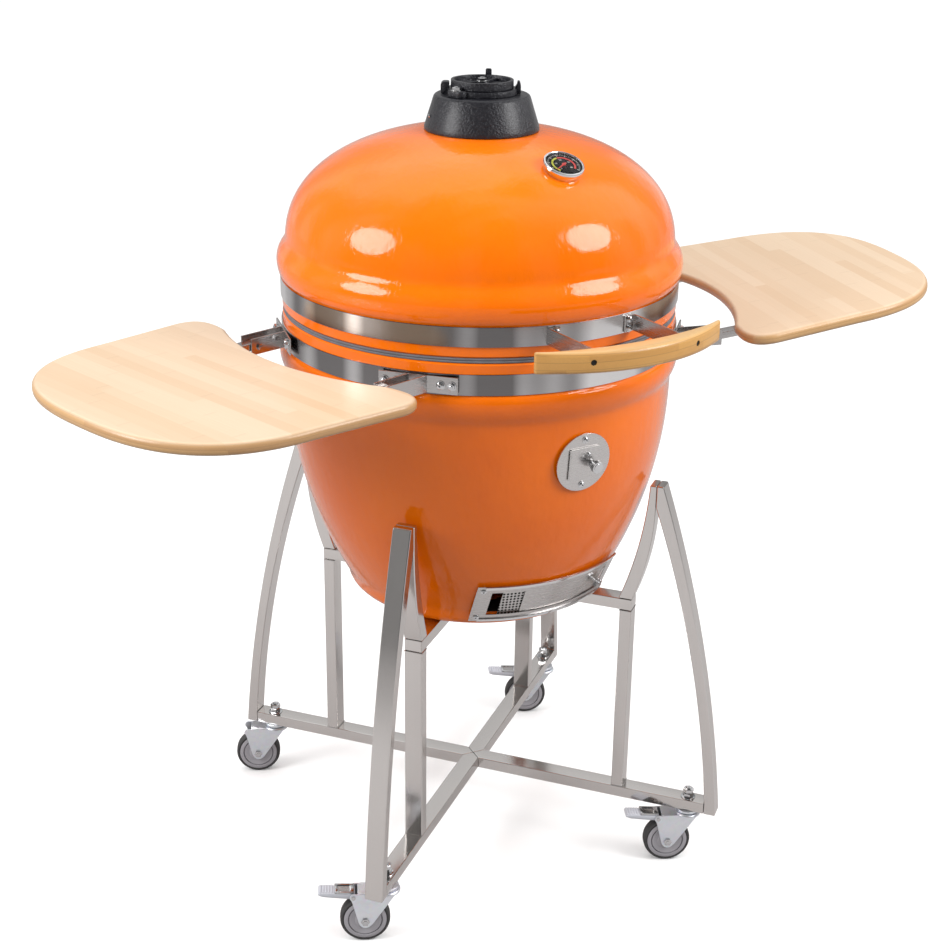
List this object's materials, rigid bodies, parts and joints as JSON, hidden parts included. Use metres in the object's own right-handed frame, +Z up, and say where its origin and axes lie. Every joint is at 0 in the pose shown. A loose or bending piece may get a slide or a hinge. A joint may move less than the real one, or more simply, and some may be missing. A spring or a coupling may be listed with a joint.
{
  "type": "kamado grill",
  "caption": "Egg-shaped ceramic charcoal grill with a hinged dome lid, top and bottom vents, folding wooden side shelves and a castored tube stand.",
  "frame": {"origin": "on the floor, below the middle of the whole bounding box", "axes": "+Z up, -Y towards the front (lid handle and draft doors), +X to the right, along the line of the two shelves"},
  "size_m": [1.4743, 0.8189, 1.3105],
  "materials": {
    "glaze": "gloss",
    "tube_steel": "polished",
    "band_steel": "brushed",
    "bracket_steel": "satin",
    "plate_steel": "brushed",
    "zinc": "satin zinc",
    "tyre": "matt",
    "pedal_plastic": "matt",
    "felt": "felt",
    "bamboo": "oiled",
    "vent_iron": "painted, textured",
    "cast_iron": "seasoned",
    "fire_clay": "unglazed",
    "chrome": "polished",
    "needle_red": "satin"
  },
  "bodies": {
    "stand": {"base_cross": "tube_steel", "support_cross": "tube_steel", "outer_leg_rear_right": "tube_steel", "outer_leg_rear_left": "tube_steel", "outer_leg_front_left": "tube_steel", "outer_leg_front_right": "tube_steel", "cradle_arm_rear_right": "tube_steel", "cradle_arm_rear_left": "tube_steel", "cradle_arm_front_left": "tube_steel", "cradle_arm_front_right": "tube_steel", "post_rear_right": "tube_steel", "post_rear_left": "tube_steel", "post_front_left": "tube_steel", "post_front_right": "tube_steel", "ceramic_base": "glaze", "lower_band": "band_steel", "base_gasket": "felt", "draft_frame": "plate_steel", "port_plate": "plate_steel", "shelf_clip_left_a": "bracket_steel", "shelf_clip_left_b": "bracket_steel", "shelf_clip_right_a": "bracket_steel", "shelf_clip_right_b": "bracket_steel", "hinge_lower": "bracket_steel", "fire_box": "fire_clay", "fire_ring": "fire_clay", "charcoal_grate": "cast_iron", "cooking_grate": "cast_iron"},
    "lid": {"ceramic_dome": "glaze", "dome_gasket": "felt", "upper_band": "band_steel", "handle": "bamboo", "handle_bracket_left": "bracket_steel", "handle_bracket_right": "bracket_steel", "vent_base": "vent_iron", "thermometer_case": "chrome", "hinge_upper": "bracket_steel"},
    "vent_cap_body": {"vent_cap": "vent_iron"},
    "vent_wheel_body": {"vent_wheel": "vent_iron"},
    "needle_body": {"thermometer_needle": "needle_red"},
    "draft_door_body": {"draft_door": "plate_steel"},
    "draft_screen_body": {"draft_screen": "plate_steel"},
    "port_door_body": {"port_door": "plate_steel"},
    "shelf_left": {"shelf_board_left": "bamboo", "shelf_arm_left_a": "bracket_steel", "shelf_arm_left_b": "bracket_steel"},
    "shelf_right": {"shelf_board_right": "bamboo", "shelf_arm_right_a": "bracket_steel", "shelf_arm_right_b": "bracket_steel"},
    "castor_rear_right": {"castor_fork_rear_right": "zinc"},
    "wheel_rear_right": {"castor_wheel_rear_right": "tyre"},
    "brake_rear_right": {"brake_pedal_rear_right": "pedal_plastic"},
    "castor_rear_left": {"castor_fork_rear_left": "zinc"},
    "wheel_rear_left": {"castor_wheel_rear_left": "tyre"},
    "castor_front_left": {"castor_fork_front_left": "zinc"},
    "wheel_front_left": {"castor_wheel_front_left": "tyre"},
    "brake_front_left": {"brake_pedal_front_left": "pedal_plastic"},
    "castor_front_right": {"castor_fork_front_right": "zinc"},
    "wheel_front_right": {"castor_wheel_front_right": "tyre"},
    "brake_front_right": {"brake_pedal_front_right": "pedal_plastic"}
  },
  "joints": [
    {"name": "lid_hinge", "type": "hinge", "parent": "stand", "child": "lid", "pos_m": [0.0023, 0.3995, 0.951], "axis": [-1, 0, 0], "range_deg": [0, 70]},
    {"name": "vent_cap_hinge", "type": "hinge", "parent": "lid", "child": "vent_cap_body", "pos_m": [-0.04999, 0.07892, 1.2895], "axis": [-0.515, -0.8572, 0], "range_deg": [0, 100]},
    {"name": "vent_wheel_turn", "type": "hinge", "parent": "vent_cap_body", "child": "vent_wheel_body", "pos_m": [0.0023, 0.0475, 1.291], "axis": [0, 0, 1], "range_deg": [0, 60]},
    {"name": "thermometer_needle_turn", "type": "hinge", "parent": "lid", "child": "needle_body", "pos_m": [0.0203, -0.1525, 1.19663], "axis": [0, -0.4041, 0.9147], "range_deg": [-40, 240]},
    {"name": "draft_door_slide", "type": "hinge", "parent": "stand", "child": "draft_door_body", "pos_m": [0.0023, 0.0475, 0.53], "axis": [0, 0, 1], "range_deg": [-12, 0]},
    {"name": "draft_screen_slide", "type": "hinge", "parent": "stand", "child": "draft_screen_body", "pos_m": [0.0023, 0.0475, 0.53], "axis": [0, 0, 1], "range_deg": [-3, 9]},
    {"name": "port_door_hinge", "type": "hinge", "parent": "stand", "child": "port_door_body", "pos_m": [-0.0247, -0.26336, 0.781], "axis": [0, 0.0906, -0.9959], "range_deg": [0, 100]},
    {"name": "shelf_left_fold", "type": "hinge", "parent": "stand", "child": "shelf_left", "pos_m": [-0.32232, -0.03524, 0.914], "axis": [0.247, -0.969, 0], "range_deg": [0, 80]},
    {"name": "shelf_right_fold", "type": "hinge", "parent": "stand", "child": "shelf_right", "pos_m": [0.32692, -0.03524, 0.914], "axis": [0.247, 0.969, 0], "range_deg": [0, 87]},
    {"name": "castor_swivel_rear_right", "type": "hinge", "parent": "stand", "child": "castor_rear_right", "pos_m": [0.30694, 0.29419, 0.094], "axis": [0, 0, 1], "continuous": true},
    {"name": "wheel_spin_rear_right", "type": "hinge", "parent": "castor_rear_right", "child": "wheel_rear_right", "pos_m": [0.27638, 0.3091, 0.04], "axis": [-0.4384, -0.8988, 0], "continuous": true},
    {"name": "brake_rear_right_tip", "type": "hinge", "parent": "castor_rear_right", "child": "brake_rear_right", "pos_m": [0.2602, 0.31699, 0.0855], "axis": [-0.4384, -0.8988, 0], "range_deg": [0, 10]},
    {"name": "castor_swivel_rear_left", "type": "hinge", "parent": "stand", "child": "castor_rear_left", "pos_m": [-0.24439, 0.35214, 0.094], "axis": [0, 0, 1], "continuous": true},
    {"name": "wheel_spin_rear_left", "type": "hinge", "parent": "castor_rear_left", "child": "wheel_rear_left", "pos_m": [-0.27495, 0.36705, 0.04], "axis": [-0.4384, -0.8988, 0], "continuous": true},
    {"name": "castor_swivel_front_left", "type": "hinge", "parent": "stand", "child": "castor_front_left", "pos_m": [-0.30234, -0.19919, 0.094], "axis": [0, 0, 1], "continuous": true},
    {"name": "wheel_spin_front_left", "type": "hinge", "parent": "castor_front_left", "child": "wheel_front_left", "pos_m": [-0.3329, -0.18429, 0.04], "axis": [-0.4384, -0.8988, 0], "continuous": true},
    {"name": "brake_front_left_tip", "type": "hinge", "parent": "castor_front_left", "child": "brake_front_left", "pos_m": [-0.34908, -0.1764, 0.0855], "axis": [-0.4384, -0.8988, 0], "range_deg": [0, 10]},
    {"name": "castor_swivel_front_right", "type": "hinge", "parent": "stand", "child": "castor_front_right", "pos_m": [0.24899, -0.25714, 0.094], "axis": [0, 0, 1], "continuous": true},
    {"name": "wheel_spin_front_right", "type": "hinge", "parent": "castor_front_right", "child": "wheel_front_right", "pos_m": [0.21843, -0.24224, 0.04], "axis": [-0.4384, -0.8988, 0], "continuous": true},
    {"name": "brake_front_right_tip", "type": "hinge", "parent": "castor_front_right", "child": "brake_front_right", "pos_m": [0.20226, -0.23435, 0.0855], "axis": [-0.4384, -0.8988, 0], "range_deg": [0, 10]}
  ]
}
